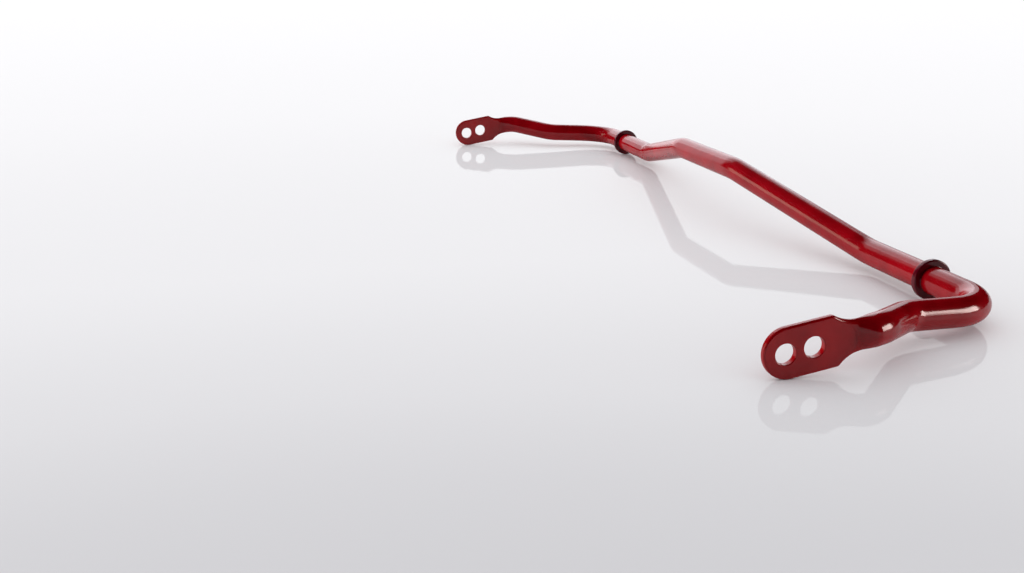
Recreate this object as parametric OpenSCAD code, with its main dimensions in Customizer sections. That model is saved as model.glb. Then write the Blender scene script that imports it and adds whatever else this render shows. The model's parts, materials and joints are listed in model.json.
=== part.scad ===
// Sway bar: a bent steel tube whose flattened ends carry two bolt holes each, with a locating
// collar beside each bushing seat.
//
// X runs along the bushing axis and +Z is up. The arms point towards -Y, and +Y is forwards, so the
// right-hand side is +X. The bar lies on the plane z = 0 on its two collars and the tips of its
// eyes, and the origin is on that plane, in the middle of the bounding box.

/* [Tube] */
// Outside diameter of the tube
tube_d = 20; // [19:0.5:21]
// Wall thickness of the tube
wall = 2.5; // [2:0.25:3]
// How much the tube's radius swells in a bend
bend_swell = 0.1; // [0.1:0.05:0.2]

/* [Centre section] */
// Half the distance between the kinks beside the bushing seats
kink_x = 245; // [235:1:246]
// Half the distance between the corners of the raised stretch
raised_x = 62.5; // [50:0.5:80]
// Height of the raised stretch above the bushing axis
raised_h = 35; // [20:1:45]
// Offset of the raised stretch from the bushing axis towards the arms
raised_offset = 32; // [15:1:40]
// Bend radius of the centre section, to the tube's centre line
centre_bend_r = 60; // [40:1:65]

/* [Bushing seats and collars] */
// Distance from the middle to the inner end of a bushing seat, where the arm begins to turn
seat_inner_x = 256; // [256:1:270]
// Distance from the middle to the inner face of a collar
collar_x = 327; // [322:1:335]
// Outside diameter of a collar
collar_d = 29; // [26:0.5:31]
// Width of a collar along the bar
collar_w = 5; // [4:0.5:7]
// Chamfer on a collar's outer edges
collar_chamfer = 0.8; // [0.4:0.1:1.2]

/* [Arms] */
// Distance from the middle to the corner where the seat turns into the arm
bend_x = 404; // [396:1:410]
// Bend radius at that corner, to the tube's centre line
bend_r = 40; // [34:1:44]
// Distance from the middle to the first corner of the arm's S-bend
jog_x = 413.5; // [408:0.5:418]
// Distance of that corner from the bushing axis, along the arm
jog_reach = 72; // [68:1:74]
// Height of that corner above the bushing axis
jog_rise = 3.4; // [2:0.2:6]
// Bend radius of both corners of the S-bend, to the tube's centre line
jog_r = 25; // [22:1:26]
// Distance from the outer bolt hole to the second corner of the S-bend
jog_end = 60; // [60:0.5:62]

/* [Eyes] */
// Distance from the middle to the mid-plane of an eye
eye_x = 453.5; // [446:0.5:460]
// Distance from the bushing axis to the outer bolt hole, along the arm
hole_reach = 173; // [170:1:180]
// Tilt of an eye: its tip hangs lower than its neck
eye_tilt = 9.5; // [8:0.5:11]
// Width of an eye, which is also the diameter of its round tip
eye_w = 31.8; // [31:0.2:32.6]
// Distance from the outer bolt hole back to the centre of the round tip
tip_in = 2; // [0:0.5:3]
// Thickness of the flattened tube
eye_t = 5; // [4:0.5:6]
// Diameter of a bolt hole
hole_d = 13; // [10:0.5:13.5]
// Distance between the two bolt holes
hole_pitch = 18; // [17:0.5:19]
// Distance from the outer hole to the centre of the press mark's round end
flat_len = 28.5; // [27.5:0.5:29.5]
// Distance from the outer hole to where the eye ends and the round tube begins
neck_end = 48; // [47.5:0.5:48.5]
// Radius of the hollow shoulders between the eye's sides and the tube
shoulder_r = 22; // [20:0.5:24]
// How far the step from the flat up to the round tube spreads
press_slope = 3.5; // [3:0.25:3.5]

/* [Hidden] */
$fn = 72;
cut = 1;  // how far a cutting tool stands past the surface that it cuts
grip = 0.5;  // how far the end of a straight stretch reaches into the fatter bend
coat = "firebrick";

tube_r = tube_d / 2;
bore_d = tube_d - 2 * wall;
eye_r = eye_w / 2;
seat_z = collar_d / 2;  // the collars touch the ground
tip_reach = hole_reach - tip_in * cos(eye_tilt) + eye_r;  // from the bushing axis to the tip
seat_y = (tip_reach - seat_z) / 2;  // puts the origin in the middle of the bounding box
hole_z = eye_r - tip_in * sin(eye_tilt);  // the tip of the eye touches the ground
outer_hole = [eye_x, seat_y - hole_reach, hole_z];
eye_dir = [0, cos(eye_tilt), sin(eye_tilt)];  // from the outer hole towards the tube
shoulder_end = neck_end - 1;  // where the hollow shoulders run into the tube's sides

centre_path = [
    [-seat_inner_x, seat_y, seat_z],
    [-kink_x, seat_y, seat_z],
    [-raised_x, seat_y - raised_offset, seat_z + raised_h],
    [raised_x, seat_y - raised_offset, seat_z + raised_h],
    [kink_x, seat_y, seat_z],
    [seat_inner_x, seat_y, seat_z]
];
centre_radii = [for (corner = [1:4]) centre_bend_r];

arm_path = [
    [seat_inner_x, seat_y, seat_z],
    [bend_x, seat_y, seat_z],
    [jog_x, seat_y - jog_reach, seat_z + jog_rise],
    outer_hole + jog_end * eye_dir,
    outer_hole + neck_end * eye_dir
];
arm_radii = [bend_r, jog_r, jog_r];

function unit(v) = v / norm(v);
function heading(path, i) = unit(path[i + 1] - path[i]);
function turn(path, i) = acos(heading(path, i - 1) * heading(path, i));
// How far before and after corner i its bend starts and ends.
function setback(path, radii, i) = radii[i - 1] * tan(turn(path, i) / 2);
// How far short of point i a straight stretch stops; it runs past the ends of the path.
function inset(path, radii, i, past_ends) =
    i == 0 || i == len(path) - 1 ? -past_ends : setback(path, radii, i) - grip;

// A straight round bar between two points.
module rod(from, to, d) {
    v = to - from;
    translate(from)
        rotate([0, acos(v.z / norm(v)), atan2(v.y, v.x)])
            cylinder(h = norm(v), d = d);
}

// The bend at corner i of a path: part of a torus that meets the rods on both sides of it.
module bend(path, radii, i, d) {
    r = radii[i - 1];
    arrive = heading(path, i - 1);
    leave = heading(path, i);
    inward = unit(leave - arrive * (arrive * leave));
    side = cross(-inward, arrive);
    centre = path[i] - arrive * setback(path, radii, i) + inward * r;
    multmatrix([
        [-inward.x, arrive.x, side.x, centre.x],
        [-inward.y, arrive.y, side.y, centre.y],
        [-inward.z, arrive.z, side.z, centre.z],
        [0, 0, 0, 1]
    ])
        rotate_extrude(angle = turn(path, i))
            translate([r, 0])
                circle(d = d);
}

// A round bar that follows a path of straight stretches joined by bends.
module bent_rod(path, radii, d, past_ends = 0) {
    for (i = [0:len(path) - 2])
        rod(path[i] + heading(path, i) * inset(path, radii, i, past_ends),
            path[i + 1] - heading(path, i) * inset(path, radii, i + 1, past_ends), d);
    for (i = [1:len(path) - 2])
        bend(path, radii, i, d + 2 * bend_swell);
}

module bent_tube(path, radii) {
    difference() {
        bent_rod(path, radii, tube_d);
        bent_rod(path, radii, bore_d, past_ends = cut);
    }
}

// Puts a child drawn flat, with +X towards the tube, in the plane of the right-hand eye.
module at_eye() {
    multmatrix([
        [0, 0, 1, outer_hole.x],
        [cos(eye_tilt), -sin(eye_tilt), 0, outer_hole.y],
        [sin(eye_tilt), cos(eye_tilt), 0, outer_hole.z],
        [0, 0, 0, 1]
    ])
        children();
}

// Outline of the pressed flat: a round tip, parallel sides and hollow shoulders.
module eye_outline() {
    difference() {
        union() {
            translate([tip_in, 0])
                circle(d = eye_w);
            translate([tip_in, -eye_r])
                square([shoulder_end - tip_in, eye_w]);
        }
        for (side = [-1, 1])
            translate([shoulder_end, side * (tube_r + shoulder_r)])
                circle(r = shoulder_r);
    }
}

// The press leaves a round-ended flat on each face, with a short slope up to the round tube.
module press_mark() {
    translate([flat_len, 0, eye_t / 2])
        cylinder(h = tube_r, r1 = eye_r, r2 = eye_r + press_slope);
}

module neck() {
    difference() {
        translate([flat_len, 0, 0])
            rotate([0, 90, 0])
                cylinder(h = neck_end - flat_len, d = tube_d);
        press_mark();
        mirror([0, 0, 1])
            press_mark();
    }
}

module eye() {
    at_eye()
        difference() {
            union() {
                linear_extrude(height = eye_t, center = true)
                    eye_outline();
                neck();
            }
            for (hole = [0, 1])
                translate([hole * hole_pitch, 0, 0])
                    cylinder(h = eye_t + 2 * cut, d = hole_d, center = true);
        }
}

module collar() {
    translate([collar_x, seat_y, seat_z])
        rotate([0, 90, 0])
            rotate_extrude()
                polygon([
                    [tube_r, 0],
                    [collar_d / 2 - collar_chamfer, 0],
                    [collar_d / 2, collar_chamfer],
                    [collar_d / 2, collar_w - collar_chamfer],
                    [collar_d / 2 - collar_chamfer, collar_w],
                    [tube_r, collar_w]
                ]);
}

module centre_bar() {
    color(coat) bent_tube(centre_path, centre_radii);
}

module right_arm() {
    color(coat) bent_tube(arm_path, arm_radii);
}

module left_arm() {
    mirror([1, 0, 0]) right_arm();
}

module right_eye() {
    color(coat) eye();
}

module left_eye() {
    mirror([1, 0, 0]) right_eye();
}

module right_collar() {
    color(coat) collar();
}

module left_collar() {
    mirror([1, 0, 0]) right_collar();
}

centre_bar();
left_arm();
right_arm();
left_eye();
right_eye();
left_collar();
right_collar();
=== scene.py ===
import json
import math

import bmesh
import bpy
import numpy as np
from mathutils import Euler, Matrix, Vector


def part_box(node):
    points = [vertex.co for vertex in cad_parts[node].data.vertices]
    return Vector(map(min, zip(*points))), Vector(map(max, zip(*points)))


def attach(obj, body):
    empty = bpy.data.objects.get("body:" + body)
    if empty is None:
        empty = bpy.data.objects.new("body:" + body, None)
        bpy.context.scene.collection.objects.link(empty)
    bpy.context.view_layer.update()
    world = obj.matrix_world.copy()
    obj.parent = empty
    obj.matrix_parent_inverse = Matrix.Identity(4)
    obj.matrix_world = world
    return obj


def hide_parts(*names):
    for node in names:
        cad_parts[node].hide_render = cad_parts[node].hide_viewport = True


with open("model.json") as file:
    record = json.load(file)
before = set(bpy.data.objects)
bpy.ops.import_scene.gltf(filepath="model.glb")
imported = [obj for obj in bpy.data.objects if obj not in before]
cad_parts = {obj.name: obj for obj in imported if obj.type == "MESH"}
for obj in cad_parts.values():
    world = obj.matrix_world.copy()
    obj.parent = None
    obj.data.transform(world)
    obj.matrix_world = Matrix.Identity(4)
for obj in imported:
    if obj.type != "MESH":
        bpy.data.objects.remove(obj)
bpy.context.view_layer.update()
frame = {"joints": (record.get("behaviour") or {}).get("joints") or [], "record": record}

# ---------------------------------------------------------------- sizes from the frame
MM = 0.001
MOUNTS = {mount["name"]: mount for mount in frame["record"]["mounts"]}
LINK_HOLE = MOUNTS["right_outer_link_hole"]
HINGE = {joint["name"]: joint for joint in frame["joints"]}["right_twist"]

SEAT_X, SEAT_Y, SEAT_Z = HINGE["pos_m"]
TUBE_R = MOUNTS["right_bushing_seat"]["dims"]["r_mm"] * MM
OUTER_HOLE = Vector(LINK_HOLE["pos_m"])
INNER_HOLE = Vector(MOUNTS["right_inner_link_hole"]["pos_m"])
HOLE_R = LINK_HOLE["dims"]["r_mm"] * MM
HALF_T = LINK_HOLE["dims"]["length_mm"] * MM / 2
EYE_ALONG = (INNER_HOLE - OUTER_HOLE).normalized()
EYE_ACROSS = Vector((0, -EYE_ALONG.z, EYE_ALONG.y))

# ---------------------------------------------------------------- the tube's centre line
# The centre stretch: X of its corners, how far its middle is raised and set back, and its bends' radius.
KINK_X = 0.245
RAISED_X = 0.0625
RAISED_RISE = 0.035
RAISED_OFFSET = 0.032
CENTRE_BEND_R = 0.060
# The bend from the seat to the arm.
BEND_X = 0.404
BEND_R = 0.040
# The S-bend: X of its first corner, with the reach and rise from the seat, and its second corner's distance
# from the outer hole along the eye.
JOG_X = 0.4135
JOG_REACH = 0.072
JOG_RISE = 0.0034
JOG_R = 0.025
JOG_END = 0.060

# Points round the tube, and the spacing of its rings.
AROUND = 96
BEND_STEP = 1.5
LEAST_BEND_STEPS = 4
STRAIGHT_STEP = 0.006
# Any direction that isn't along a path's start.
RING_START = (0.0, 0.3, 1.0)

# ---------------------------------------------------------------- the eye
# The centre of its round tip, the flat and the neck, measured from the outer hole along EYE_ALONG.
TIP_IN = 0.002
EYE_R = OUTER_HOLE.z + TIP_IN * EYE_ALONG.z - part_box("right_eye")[0].z
FLAT_LEN = 0.0285
NECK_END = 0.048
SHOULDER_R = 0.022
SHOULDER_END = NECK_END - 0.001
SHOULDER_BLEND = 0.0008
# Rounding of the outline's edge, which grows along the shoulder, and of the holes' lips.
EYE_EDGE_R = 0.0015
SHOULDER_EDGE_R = 0.0030
EDGE_GROWS = (FLAT_LEN + 0.002, NECK_END - 0.004)
HOLE_LIP_R = 0.0006
# The plate's straight side wall fades out along the shoulder, and the plate itself just before the joint.
WALL_FADES = (FLAT_LEN + 0.003, NECK_END - 0.004)
PLATE_ENDS = (NECK_END - 0.003, NECK_END)
# The press leaves a steep rim round the flat, and the tube behind it stays oval for a while.
RIM_RISE = 1.6
RIM_BLEND = 0.0012
PLATE_BLEND = 0.0014
LEAST_BLEND = 1e-6
OVAL_START = 0.0420
OVAL_END = 0.058
PRESSED_RATIO = HALF_T / TUBE_R
# Mesh rings along the tip, flat and neck, the first one's angle off the very tip, and points across a face.
TIP_START = 2.0
TIP_POINTS = 42
FLAT_POINTS = 40
NECK_POINTS = 90
ACROSS_POINTS = 91
ON_OUTLINE = 1e-9
# How far the hole cutter runs past the rolled lips, and how much wider it is there.
CUTTER_PAST = 0.001
CUTTER_FLARE = 0.002

# ---------------------------------------------------------------- the collar
COLLAR_EDGE_R = 0.0011
COLLAR_SINK = 0.0004
PAINT_FILLET_R = 0.0005
ROUND_STEPS = 8


# ---------------------------------------------------------------- arithmetic
def unit(v):
    return v / np.linalg.norm(v)


def smooth_step(a, b, x):
    t = np.clip((x - a) / (b - a), 0, 1)
    return t * t * (3 - 2 * t)


def smooth_min(a, b, k):
    """The lower of a and b, with a fillet about k wide where they cross."""
    h = np.clip(0.5 + 0.5 * (b - a) / k, 0, 1)
    return b + (a - b) * h - k * h * (1 - h)


def smooth_max(a, b, k):
    return -smooth_min(-a, -b, k)


def quarter_turn(steps=ROUND_STEPS):
    """Angles from 0 to a right angle, in radians."""
    return [math.pi / 2 * k / steps for k in range(steps + 1)]


def full_turn(steps=AROUND):
    """Evenly spaced angles round a circle, in radians."""
    return 2 * math.pi * np.arange(steps) / steps


# ---------------------------------------------------------------- mesh helpers
# A shape is its points, its faces, and the faces whose edges stay crisp.
def ring_faces(rings, count, closed=False):
    """Quads between neighbouring rings of count points. closed joins the last ring to the first."""
    faces = []
    for ring in range(rings if closed else rings - 1):
        here = ring * count
        there = (ring + 1) % rings * count
        for k in range(count):
            n = (k + 1) % count
            faces.append((here + k, here + n, there + n, there + k))
    return faces


def capped_faces(rings, count):
    """Quads between the rings, then a flat face over each end."""
    faces = ring_faces(rings, count)
    faces.append(tuple(range(count)))
    faces.append(tuple((rings - 1) * count + k for k in range(count)))
    return faces


def end_faces(faces):
    return (len(faces) - 2, len(faces) - 1)


def add_object(name, data):
    made = bpy.data.objects.new(name, data)
    bpy.context.scene.collection.objects.link(made)
    return made


def object_from_bmesh(name, bm):
    mesh = bpy.data.meshes.new(name)
    bm.to_mesh(mesh)
    bm.free()
    return add_object(name, mesh)


def outward_normals(piece):
    bm = bmesh.new()
    bm.from_mesh(piece.data)
    bmesh.ops.recalc_face_normals(bm, faces=bm.faces)
    bm.to_mesh(piece.data)
    bm.free()


def shade_smooth(mesh):
    mesh.polygons.foreach_set("use_smooth", [True] * len(mesh.polygons))


def make_piece(name, shape, body, node, material):
    """A smooth-shaded mesh that stands for a CAD node and moves with a body."""
    verts, faces, crisp_faces = shape
    mesh = bpy.data.meshes.new(name)
    mesh.from_pydata([tuple(v) for v in verts], [], faces)
    mesh.validate()
    shade_smooth(mesh)
    crisp = {key for f in crisp_faces for key in mesh.polygons[f].edge_keys}
    for edge in mesh.edges:
        if edge.key in crisp:
            edge.use_edge_sharp = True
    mesh.materials.append(material)
    piece = add_object(name, mesh)
    outward_normals(piece)
    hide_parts(node)
    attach(piece, body)
    return piece


def mirrored(points):
    return [Vector((-p[0], p[1], p[2])) for p in points]


# ---------------------------------------------------------------- bent tube
def centre_corners():
    raised_y = SEAT_Y - RAISED_OFFSET
    raised_z = SEAT_Z + RAISED_RISE
    return [
        (-SEAT_X, SEAT_Y, SEAT_Z),
        (-KINK_X, SEAT_Y, SEAT_Z),
        (-RAISED_X, raised_y, raised_z),
        (RAISED_X, raised_y, raised_z),
        (KINK_X, SEAT_Y, SEAT_Z),
        (SEAT_X, SEAT_Y, SEAT_Z),
    ]


def arm_corners():
    return [
        (SEAT_X, SEAT_Y, SEAT_Z),
        (BEND_X, SEAT_Y, SEAT_Z),
        (JOG_X, SEAT_Y - JOG_REACH, SEAT_Z + JOG_RISE),
        OUTER_HOLE + JOG_END * EYE_ALONG,
        OUTER_HOLE + NECK_END * EYE_ALONG,
    ]


def straight_stretch(start, end):
    """Points after start, up to end."""
    count = max(1, math.ceil(np.linalg.norm(end - start) / STRAIGHT_STEP))
    return [start + (end - start) * k / count for k in range(1, count + 1)]


def bent_path(corners, radii):
    """Points and headings along straight stretches joined by bends of the given radii."""
    corners = [np.array(c, float) for c in corners]
    points = [corners[0]]
    headings = [unit(corners[1] - corners[0])]

    def go_straight(end, heading):
        stretch = straight_stretch(points[-1], end)
        points.extend(stretch)
        headings.extend([heading] * len(stretch))

    for i, radius in enumerate(radii, start=1):
        arrive = unit(corners[i] - corners[i - 1])
        leave = unit(corners[i + 1] - corners[i])
        turn = math.acos(arrive @ leave)
        inward = unit(leave - arrive * (arrive @ leave))
        bend_start = corners[i] - arrive * radius * math.tan(turn / 2)
        centre = bend_start + inward * radius
        go_straight(bend_start, arrive)
        steps = max(LEAST_BEND_STEPS, math.ceil(turn / math.radians(BEND_STEP)))
        for k in range(1, steps + 1):
            a = turn * k / steps
            points.append(centre - inward * radius * math.cos(a) + arrive * radius * math.sin(a))
            headings.append(arrive * math.cos(a) + inward * math.sin(a))
    go_straight(corners[-1], unit(corners[-1] - corners[-2]))
    return np.array(points), np.array(headings)


def sweep(points, headings):
    """A closed round bar about a path, with rings that don't twist."""
    across = unit(np.cross(headings[0], RING_START))
    angles = full_turn()
    verts = []
    for point, heading in zip(points, headings):
        across = unit(across - heading * (across @ heading))
        up = np.cross(heading, across)
        verts.extend(point + TUBE_R * (np.outer(np.cos(angles), across) + np.outer(np.sin(angles), up)))
    faces = capped_faces(len(points), AROUND)
    return verts, faces, end_faces(faces)


def build_centre():
    return sweep(*bent_path(centre_corners(), [CENTRE_BEND_R] * 4))


def build_arm():
    """The right-hand arm's tube. Its end is pressed oval, so that it meets the eye's neck."""
    verts, faces, ends = sweep(*bent_path(arm_corners(), [BEND_R, JOG_R, JOG_R]))
    points = np.array(verts)
    u = (points - np.array(OUTER_HOLE)) @ np.array(EYE_ALONG)
    points[:, 0] = OUTER_HOLE.x + (points[:, 0] - OUTER_HOLE.x) * oval_ratio(u)
    return points, faces, ends


# ---------------------------------------------------------------- eye
def shoulder_width(u):
    """Half-width of the hollow shoulder at a distance u from the outer hole."""
    drop = np.clip(SHOULDER_R ** 2 - (np.minimum(u, SHOULDER_END) - SHOULDER_END) ** 2, 0, None)
    return TUBE_R + SHOULDER_R - np.sqrt(drop)


def half_width(u):
    """Half-width of the eye's outline behind its round tip."""
    return smooth_min(np.full_like(u, EYE_R), shoulder_width(u), SHOULDER_BLEND)


def oval_ratio(u):
    """Height of the flattened tube as a share of its width, from the pressed flat to the full round."""
    return PRESSED_RATIO + (1 - PRESSED_RATIO) * smooth_step(OVAL_START, OVAL_END, u)


def plate_height(edge, u, wall):
    """Height of the flat plate, rounded off towards the outline."""
    rounding = EYE_EDGE_R + (SHOULDER_EDGE_R - EYE_EDGE_R) * smooth_step(*EDGE_GROWS, u)
    inside = np.clip(edge / rounding, 0, 1)
    return wall + (HALF_T - wall) * np.sqrt(1 - (1 - inside) ** 2)


def neck_height(u, v, width, fade):
    """Height of the oval tube, held down inside the rim that the press leaves round the flat."""
    across = np.sqrt(np.clip(1 - (v / width) ** 2, 0, None))
    rim = HALF_T + RIM_RISE * (np.hypot(np.maximum(u - FLAT_LEN, 0), v) - EYE_R)
    return smooth_min(TUBE_R * oval_ratio(u) * across, rim, RIM_BLEND * fade + LEAST_BLEND)


def eye_height(u, v, edge, width):
    """Height of a face at (u, v), where edge is the distance to the outline and width its half-width."""
    fade = 1 - smooth_step(*WALL_FADES, u)
    wall = (HALF_T - EYE_EDGE_R) * fade
    plate = plate_height(edge, u, wall)
    neck = neck_height(u, v, width, fade)
    blended = smooth_max(plate, neck, PLATE_BLEND)
    blended = blended + (neck - blended) * smooth_step(*PLATE_ENDS, u)
    return np.where(edge <= 0, wall, blended)


def eye_stations():
    """Distances along the eye at which it is cut into rings."""
    tip_angles = np.linspace(math.radians(TIP_START), math.pi / 2, TIP_POINTS)
    return np.concatenate([
        TIP_IN - EYE_R * np.cos(tip_angles),
        np.linspace(TIP_IN, FLAT_LEN, FLAT_POINTS)[1:],
        np.linspace(FLAT_LEN, NECK_END, NECK_POINTS)[1:],
    ])


def edge_distance(u, v, width, slope):
    """Distance from points across the eye to its outline."""
    if u < TIP_IN:
        distance = EYE_R - np.hypot(u - TIP_IN, v)
    else:
        distance = (width - np.abs(v)) / math.sqrt(1 + slope * slope)
    return np.where(np.abs(np.abs(v) - width) < ON_OUTLINE, 0.0, distance)


def build_eye():
    """The right-hand eye before drilling: each ring runs over one face and back over the other."""
    stations = eye_stations()
    spread = np.sin(np.linspace(-math.pi / 2, math.pi / 2, ACROSS_POINTS))
    round_tip = np.sqrt(np.clip(EYE_R ** 2 - (stations - TIP_IN) ** 2, 0, None))
    widths = np.where(stations < TIP_IN, round_tip, half_width(stations))
    slopes = np.gradient(half_width(stations), stations)
    verts = []

    def place(u, v, w):
        return OUTER_HOLE + EYE_ALONG * float(u) + EYE_ACROSS * float(v) + Vector((float(w), 0, 0))

    for u, width, slope in zip(stations, widths, slopes):
        v = width * spread
        height = eye_height(np.full_like(v, u), v, edge_distance(u, v, width, slope), width)
        verts.extend(place(u, y, w) for y, w in zip(v, height))
        verts.extend(place(u, y, -w) for y, w in zip(v[::-1], height[::-1]))
    faces = capped_faces(len(stations), 2 * ACROSS_POINTS)
    return verts, faces, end_faces(faces)


def cutter_profile():
    """Half-section of a hole's cutter as (x, r). It flares at both faces, which leaves the lips rounded."""
    lip = [
        (HALF_T - HOLE_LIP_R + HOLE_LIP_R * math.sin(a), HOLE_R + HOLE_LIP_R * (1 - math.cos(a)))
        for a in quarter_turn()
    ]
    lip.append((HALF_T + CUTTER_PAST, lip[-1][1] + CUTTER_FLARE))
    return [(-x, r) for x, r in lip[::-1]] + lip


def hole_cutter(name, centre):
    profile = cutter_profile()
    angles = [2 * math.pi * k / AROUND for k in range(AROUND)]
    verts = [centre + Vector((x, r * math.cos(a), r * math.sin(a))) for x, r in profile for a in angles]
    mesh = bpy.data.meshes.new(name)
    mesh.from_pydata(verts, [], capped_faces(len(profile), AROUND))
    cutter = add_object(name, mesh)
    outward_normals(cutter)
    return cutter


def cut_holes(piece, centres):
    """Drills the bolt holes and keeps the result as the piece's own mesh."""
    cutters = [hole_cutter(f"cutter_{i}", centre) for i, centre in enumerate(centres)]
    for cutter in cutters:
        modifier = piece.modifiers.new(cutter.name, "BOOLEAN")
        modifier.operation = "DIFFERENCE"
        modifier.solver = "EXACT"
        modifier.object = cutter
    bpy.context.view_layer.update()
    drilled = piece.evaluated_get(bpy.context.evaluated_depsgraph_get())
    mesh = bpy.data.meshes.new_from_object(drilled)
    piece.modifiers.clear()
    piece.data = mesh
    for cutter in cutters:
        bpy.data.objects.remove(cutter)
    shade_smooth(mesh)


# ---------------------------------------------------------------- collar
def collar_side(radius):
    """One side of a collar as (x inwards, r): paint drawn into the corner at the tube, then a rounded rim."""
    side = [(-PAINT_FILLET_R, TUBE_R - COLLAR_SINK)]
    for a in quarter_turn():
        side.append((
            -PAINT_FILLET_R + PAINT_FILLET_R * math.sin(a),
            TUBE_R + PAINT_FILLET_R * (1 - math.cos(a)),
        ))
    for a in quarter_turn():
        side.append((COLLAR_EDGE_R * (1 - math.cos(a)), radius - COLLAR_EDGE_R * (1 - math.sin(a))))
    return side


def build_collar():
    """The right-hand collar, a ring turned about the seat's axis."""
    low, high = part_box("right_collar")
    side = collar_side((high.z - low.z) / 2)
    profile = [(low.x + x, r) for x, r in side] + [(high.x - x, r) for x, r in side[::-1]]
    verts = [(x, SEAT_Y + r * math.cos(a), SEAT_Z + r * math.sin(a)) for x, r in profile for a in full_turn()]
    return verts, ring_faces(len(profile), AROUND, closed=True), ()


# ---------------------------------------------------------------- material helpers
def set_inputs(shader, values):
    for key, value in values.items():
        shader.inputs[key].default_value = value


def new_material(name):
    material = bpy.data.materials.new(name)
    material.use_nodes = True
    return material


def coordinates(tree):
    """The object's own coordinates."""
    return tree.nodes.new("ShaderNodeTexCoord").outputs["Object"]


def axis_of(tree, axis):
    split = tree.nodes.new("ShaderNodeSeparateXYZ")
    tree.links.new(coordinates(tree), split.inputs["Vector"])
    return split.outputs[axis]


def noise(tree, place, values):
    made = tree.nodes.new("ShaderNodeTexNoise")
    set_inputs(made, values)
    tree.links.new(place, made.inputs["Vector"])
    return made.outputs["Fac"]


def map_range(tree, value, limits):
    made = tree.nodes.new("ShaderNodeMapRange")
    set_inputs(made, limits)
    tree.links.new(value, made.inputs["Value"])
    return made.outputs["Result"]


def colour_ramp(tree, factor, stops):
    """Colours along factor, with stops as (position, colour)."""
    made = tree.nodes.new("ShaderNodeValToRGB")
    elements = made.color_ramp.elements
    while len(elements) < len(stops):
        elements.new(1.0)
    for element, (position, colour) in zip(elements, stops):
        element.position = position
        element.color = (*colour, 1)
    tree.links.new(factor, made.inputs["Fac"])
    return made.outputs["Color"]


# ---------------------------------------------------------------- paint
# Deep red under a clear gloss: base colours from dark to light, and the weight of the gloss.
PAINTS = {
    "bar_paint": ((0.27, 0.0008, 0.004), (0.39, 0.0016, 0.007), 0.60),
    "eye_paint": ((0.27, 0.0008, 0.003), (0.39, 0.0016, 0.005), 0.58),
    # The collar's colours are the bar's own red, darkened as painted shade.
    "collar_paint": ((0.07, 0.0005, 0.005), (0.11, 0.001, 0.008), 0.5),
}
PAINT_FINISH = {"Specular IOR Level": 0.0, "Coat Roughness": 0.14, "Coat IOR": 1.5}
MOTTLE_NOISE = {"Scale": 45.0, "Detail": 5.0}
MOTTLE_DARK = 0.35
MOTTLE_LIGHT = 0.70
SHEEN_NOISE = {"Scale": 900.0, "Detail": 3.0}
SHEEN_LIMITS = {"To Min": 0.28, "To Max": 0.42}
PEEL_NOISE = {"Scale": 420.0, "Detail": 1.5}
PEEL_BUMP = {"Strength": 0.03, "Distance": 0.0005}


def gloss_paint(name, dark, light, gloss):
    """Powder coat under a clear gloss: mottled colour, a slightly uneven sheen and orange peel."""
    material = new_material(name)
    tree = material.node_tree
    shader = tree.nodes["Principled BSDF"]
    set_inputs(shader, PAINT_FINISH)
    set_inputs(shader, {"Coat Weight": gloss})
    place = coordinates(tree)

    mottle = noise(tree, place, MOTTLE_NOISE)
    colour = colour_ramp(tree, mottle, [(MOTTLE_DARK, dark), (MOTTLE_LIGHT, light)])
    tree.links.new(colour, shader.inputs["Base Color"])

    sheen = map_range(tree, noise(tree, place, SHEEN_NOISE), SHEEN_LIMITS)
    tree.links.new(sheen, shader.inputs["Roughness"])

    bump = tree.nodes.new("ShaderNodeBump")
    set_inputs(bump, PEEL_BUMP)
    tree.links.new(noise(tree, place, PEEL_NOISE), bump.inputs["Height"])
    tree.links.new(bump.outputs["Normal"], shader.inputs["Normal"])
    tree.links.new(bump.outputs["Normal"], shader.inputs["Coat Normal"])
    return material


# ---------------------------------------------------------------- the bar
def add_side(side, shapes, paints):
    """The arm, eye and collar of one side. Shapes are built for the right, and mirrored for the left."""
    turned = mirrored if side == "left" else list
    arm, eye, collar = [(turned(verts), faces, crisp) for verts, faces, crisp in shapes]
    arm_piece = make_piece(
        f"{side}_arm_tube", arm, side, f"{side}_arm", paints["bar_paint"])
    eye_piece = make_piece(
        f"{side}_pressed_eye", eye, side, f"{side}_eye", paints["eye_paint"])
    cut_holes(eye_piece, turned([OUTER_HOLE, INNER_HOLE]))
    # The collar takes the darker paint, which holds painted shade.
    collar_piece = make_piece(
        f"{side}_stop_collar", collar, side, f"{side}_collar", paints["collar_paint"])
    return [arm_piece, eye_piece, collar_piece]


def build_bar():
    paints = {name: gloss_paint(name, *finish) for name, finish in PAINTS.items()}
    pieces = [make_piece(
        "centre_tube", build_centre(), "centre", "centre_bar", paints["bar_paint"])]
    shapes = [build_arm(), build_eye(), build_collar()]
    for side in ("right", "left"):
        pieces += add_side(side, shapes, paints)
    return pieces


# ---------------------------------------------------------------- floor
FLOOR_HALF = 20.0
FLOOR_CELLS = 8
FLOOR_DROP = 0.0001
FLOOR_FINISH = {
    "Roughness": 0.6, "Specular IOR Level": 0.0, "Coat Weight": 0.27, "Coat Roughness": 0.04,
}
# The floor's colour far off, its colour close to the camera darkened as painted shade, and where along X the
# painted shade sets in.
FLOOR_FAR = (0.755, 0.750, 0.775)
FLOOR_NEAR_SHADED = (0.655, 0.650, 0.675)
FLOOR_SHADE_FADE = {"From Min": 0.15, "From Max": 0.65}


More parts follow.
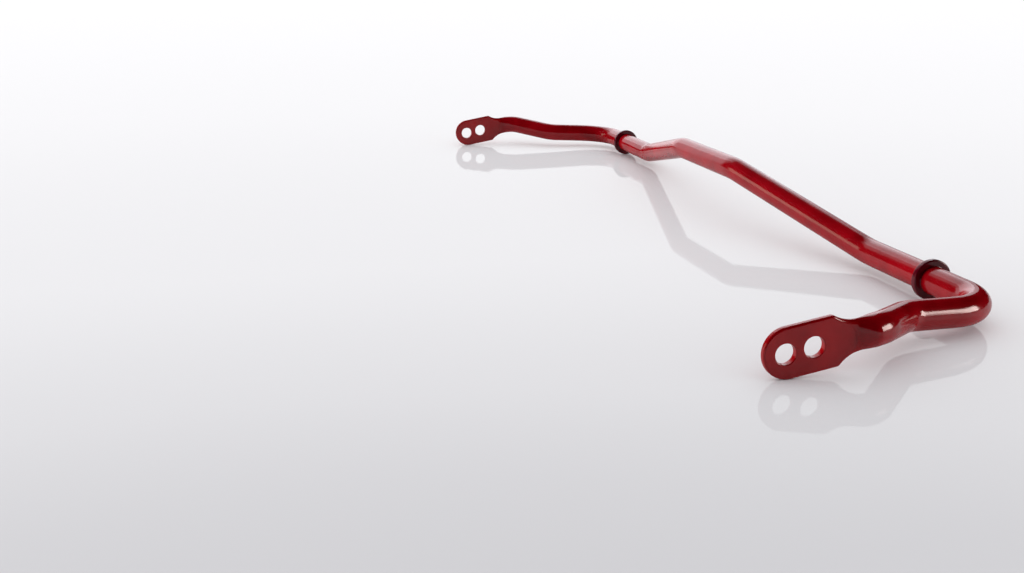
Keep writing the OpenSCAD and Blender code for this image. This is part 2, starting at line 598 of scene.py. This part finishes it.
def floor_material():
    """Pale studio floor with a polished film over it, and painted shade that darkens it a little towards the
    camera.
    """
    material = new_material("studio_floor")
    tree = material.node_tree
    shader = tree.nodes["Principled BSDF"]
    set_inputs(shader, FLOOR_FINISH)
    # Painted shade: the floor's colour darkens along X towards the camera.
    painted_shade = map_range(tree, axis_of(tree, "X"), FLOOR_SHADE_FADE)
    floor_with_shade = colour_ramp(tree, painted_shade, [(0.0, FLOOR_FAR), (1.0, FLOOR_NEAR_SHADED)])
    tree.links.new(floor_with_shade, shader.inputs["Base Color"])
    return material


def make_floor():
    bm = bmesh.new()
    bmesh.ops.create_grid(bm, x_segments=FLOOR_CELLS, y_segments=FLOOR_CELLS, size=FLOOR_HALF)
    floor = object_from_bmesh("floor", bm)
    floor.location.z = -FLOOR_DROP
    floor.data.materials.append(floor_material())
    return floor


# ---------------------------------------------------------------- camera
CAMERA_PLACE = (1.0431, -0.3888, 0.2363)
CAMERA_HEADING = 166.44
CAMERA_PITCH = -15.615
CAMERA_ROLL = -0.37
SENSOR_WIDTH = 36.0
LENS = 41.79


def make_camera():
    """The photograph's camera. A heading of 0 looks along +X, and 90 along +Y."""
    camera = add_object("camera", bpy.data.cameras.new("camera"))
    camera.data.sensor_width = SENSOR_WIDTH
    camera.data.lens = LENS
    camera.location = CAMERA_PLACE
    pitch = math.pi / 2 + math.radians(CAMERA_PITCH)
    heading = math.radians(CAMERA_HEADING) - math.pi / 2
    level = Euler((pitch, 0, heading)).to_matrix()
    roll = Euler((0, 0, math.radians(CAMERA_ROLL))).to_matrix()
    camera.rotation_euler = (level @ roll).to_euler()
    bpy.context.scene.camera = camera


# ---------------------------------------------------------------- lamps for the bar
NEUTRAL = (0.98, 1.0, 1.05)
PEACH = (1.0, 0.87, 0.81)
SAND = (1.0, 0.98, 0.80)
SOFTBOX_DISTANCE = 5.0
# Azimuth and elevation of each softbox's centre, its half-angles, radiance and colour, and whether it
# shows in the gloss, lights the paint's own colour, or both.
SOFTBOXES = {
    "back_low": (166.5, 4.5, 20.5, 4.5, 2.0, NEUTRAL, "both"),
    "back_middle": (166.5, 21, 20.5, 12, 2.9, NEUTRAL, "both"),
    "back_high": (166.5, 38, 20.5, 5, 1.9, NEUTRAL, "both"),
    "back_top": (166.5, 45.5, 20.5, 2.5, 1.1, NEUTRAL, "both"),
    "back_edge": (142, 12.5, 4, 12.5, 1.3, NEUTRAL, "both"),
    "end_low": (196, 12, 9, 12, 1.6, NEUTRAL, "both"),
    "end_middle": (196, 30, 9, 6, 1.0, NEUTRAL, "both"),
    "end_high": (196, 41, 9, 5, 0.65, NEUTRAL, "both"),
    "side": (240, 8.5, 14, 8.5, 3.0, SAND, "both"),
    "side_fill": (237, 28, 22, 16, 6.2, NEUTRAL, "colour"),
    "key": (61, 13.5, 14.5, 10.5, 19.0, PEACH, "gloss"),
    "key_fill": (61, 16, 14.5, 8, 9.0, PEACH, "colour"),
    # The key's image in the polished floor, as the bar sees it.
    "key_in_floor": (61, -13, 14.5, 7, 5.0, PEACH, "gloss"),
}


def direction(azimuth, elevation):
    a, e = math.radians(azimuth), math.radians(elevation)
    return Vector((math.cos(a) * math.cos(e), math.sin(a) * math.cos(e), math.sin(e)))


def light_only(emitter, receivers):
    """Makes an emitter light the receivers and nothing else, and returns their collection."""
    group = bpy.data.collections.new(emitter.name + "_lights")
    for receiver in receivers:
        group.objects.link(receiver)
    emitter.light_linking.receiver_collection = group
    return group


def add_softbox(name, azimuth, elevation, az_half, el_half, radiance, colour, shows_in, receivers):
    """A rectangular light, far off in one direction and facing the bar."""
    light = bpy.data.lights.new(name, "AREA")
    light.shape = "RECTANGLE"
    light.size = 2 * SOFTBOX_DISTANCE * math.tan(math.radians(az_half))
    light.size_y = 2 * SOFTBOX_DISTANCE * math.tan(math.radians(el_half))
    light.energy = radiance * math.pi * light.size * light.size_y
    light.color = colour
    lamp = add_object(name, light)
    lamp.location = SOFTBOX_DISTANCE * direction(azimuth, elevation)
    lamp.rotation_euler = lamp.location.to_track_quat("Z", "Y").to_euler()
    lamp.visible_camera = False
    lamp.visible_glossy = shows_in != "colour"
    lamp.visible_diffuse = shows_in != "gloss"
    group = light_only(lamp, receivers)
    if elevation < 0:
        # Below the floor, which mustn't block it.
        lamp.light_linking.blocker_collection = group


# ---------------------------------------------------------------- domes for the floor
DOME_RADIUS = 30.0
DOME_SEGMENTS = 64
DOME_RINGS = 48
DOME_BELOW = 0.5
# Radiance by sine of the elevation: even for the floor's own colour, and graded for its polish.
EVEN_DOME = [(0.0, 1.0), (1.0, 1.0)]
POLISH_DOME = [
    (0.0, 1.8), (0.07, 2.05), (0.12, 2.2), (0.20, 2.2), (0.28, 2.35), (0.36, 2.0), (0.43, 0.8), (0.50, 0.0),
]


def dome_material(name, radiances):
    """A glow graded by height. The ramp holds shares of the brightest level."""
    material = new_material(name)
    tree = material.node_tree
    tree.nodes.clear()
    sine = map_range(tree, axis_of(tree, "Z"), {"From Max": DOME_RADIUS})
    peak = max(level for _, level in radiances)
    shares = [(position, (level / peak,) * 3) for position, level in radiances]
    emission = tree.nodes.new("ShaderNodeEmission")
    emission.inputs["Strength"].default_value = peak
    tree.links.new(colour_ramp(tree, sine, shares), emission.inputs["Color"])
    output = tree.nodes.new("ShaderNodeOutputMaterial")
    tree.links.new(emission.outputs["Emission"], output.inputs["Surface"])
    return material


def make_dome(name, radiances, floor, in_polish):
    """A bright dome that lights the floor alone, either in its polish or in its own colour."""
    bm = bmesh.new()
    bmesh.ops.create_uvsphere(bm, u_segments=DOME_SEGMENTS, v_segments=DOME_RINGS, radius=DOME_RADIUS)
    below = [v for v in bm.verts if v.co.z < -DOME_BELOW]
    bmesh.ops.delete(bm, geom=below, context="VERTS")
    dome = object_from_bmesh(name, bm)
    dome.data.materials.append(dome_material(name + "_light", radiances))
    dome.visible_camera = False
    dome.visible_shadow = False
    dome.visible_glossy = in_polish
    dome.visible_diffuse = not in_polish
    light_only(dome, [floor])


# ---------------------------------------------------------------- backdrop
BACKDROP = (1.0, 0.99, 1.0, 1)


def make_world():
    """The camera sees plain white past the floor; nothing is lit by it."""
    world = bpy.data.worlds.new("studio")
    bpy.context.scene.world = world
    world.use_nodes = True
    tree = world.node_tree
    background = tree.nodes["Background"]
    background.inputs["Color"].default_value = BACKDROP
    seen = tree.nodes.new("ShaderNodeLightPath").outputs["Is Camera Ray"]
    tree.links.new(seen, background.inputs["Strength"])


# ---------------------------------------------------------------- the scene
pieces = build_bar()
floor = make_floor()
make_dome("even_dome", EVEN_DOME, floor, in_polish=False)
make_dome("polish_dome", POLISH_DOME, floor, in_polish=True)
make_camera()
make_world()
for name, values in SOFTBOXES.items():
    add_softbox(name, *values, pieces)
bpy.context.scene.view_settings.view_transform = "Standard"
